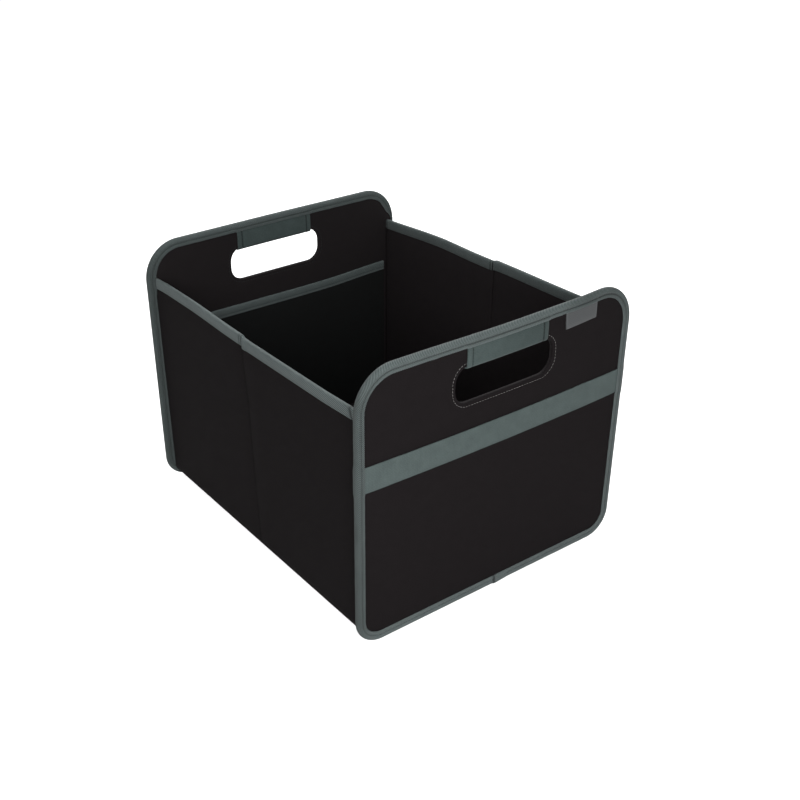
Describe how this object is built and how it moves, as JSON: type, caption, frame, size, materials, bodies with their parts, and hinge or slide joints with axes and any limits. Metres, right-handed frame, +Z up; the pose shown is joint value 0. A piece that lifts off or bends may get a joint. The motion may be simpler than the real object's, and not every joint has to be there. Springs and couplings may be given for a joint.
{
  "type": "folding storage box",
  "caption": "Open-topped cloth storage box with two stiff end panels, hand slots and side walls that fold inwards.",
  "frame": {"origin": "middle of the base, on the surface that the box stands on", "axes": "+Z up; -Y towards the front end panel, which has the band and the tag; +X to the right seen from the front"},
  "size_m": [0.32, 0.37, 0.278],
  "materials": {
    "black_cloth": "black woven cloth, matt",
    "black_lining": "black lining cloth, matt",
    "grey_binding": "greenish grey twill tape",
    "band_webbing": "flat greenish grey woven band",
    "tag_cloth": "plain grey woven tag",
    "board": "plain stiffening board",
    "pad_foam": "thin grey foam"
  },
  "bodies": {
    "front_end": {"front_outer_cover": "black_cloth", "front_board": "board", "front_inner_cover": "black_lining", "front_edge_binding": "grey_binding", "front_handle_wrap": "grey_binding", "closing_band": "band_webbing", "blank_tag": "tag_cloth", "floor_lining": "black_lining", "floor_pad": "pad_foam", "floor_outer_cloth": "black_cloth"},
    "left_front": {"left_front_sleeve": "black_cloth", "left_front_board": "board", "left_front_rim_binding": "grey_binding"},
    "left_back": {"left_back_sleeve": "black_cloth", "left_back_board": "board", "left_back_rim_binding": "grey_binding"},
    "right_front": {"right_front_sleeve": "black_cloth", "right_front_board": "board", "right_front_rim_binding": "grey_binding"},
    "right_back": {"right_back_sleeve": "black_cloth", "right_back_board": "board", "right_back_rim_binding": "grey_binding"},
    "back_end": {"back_outer_cover": "black_cloth", "back_board": "board", "back_inner_cover": "black_lining", "back_edge_binding": "grey_binding", "back_handle_wrap": "grey_binding", "inner_pocket": "black_cloth", "pocket_top_binding": "grey_binding"}
  },
  "joints": [
    {"name": "fold", "type": "hinge", "parent": "front_end", "child": "left_front", "pos_m": [-0.1455, -0.1767, 0.13], "axis": [0, 0, -1], "range_deg": [0, 90], "deforming": ["floor_lining", "floor_pad", "floor_outer_cloth"]},
    {"name": "left_mid_fold", "type": "hinge", "parent": "left_front", "child": "left_back", "pos_m": [-0.1527, 0, 0.13], "axis": [0, 0, 1], "range_deg": [0, 165]},
    {"name": "left_back_fold", "type": "hinge", "parent": "left_back", "child": "back_end", "pos_m": [-0.1455, 0.1767, 0.13], "axis": [0, 0, -1], "range_deg": [0, 75]},
    {"name": "right_front_fold", "type": "hinge", "parent": "front_end", "child": "right_front", "pos_m": [0.1455, -0.1767, 0.13], "axis": [0, 0, 1], "range_deg": [0, 75]},
    {"name": "right_mid_fold", "type": "hinge", "parent": "right_front", "child": "right_back", "pos_m": [0.1527, 0, 0.13], "axis": [0, 0, -1], "range_deg": [0, 165]}
  ],
  "couplings": [
    {"joint": "left_mid_fold", "follows": "fold", "ratio": 1.8333},
    {"joint": "left_back_fold", "follows": "fold", "ratio": 0.83333},
    {"joint": "right_front_fold", "follows": "fold", "ratio": 0.83333},
    {"joint": "right_mid_fold", "follows": "fold", "ratio": 1.8333}
  ]
}
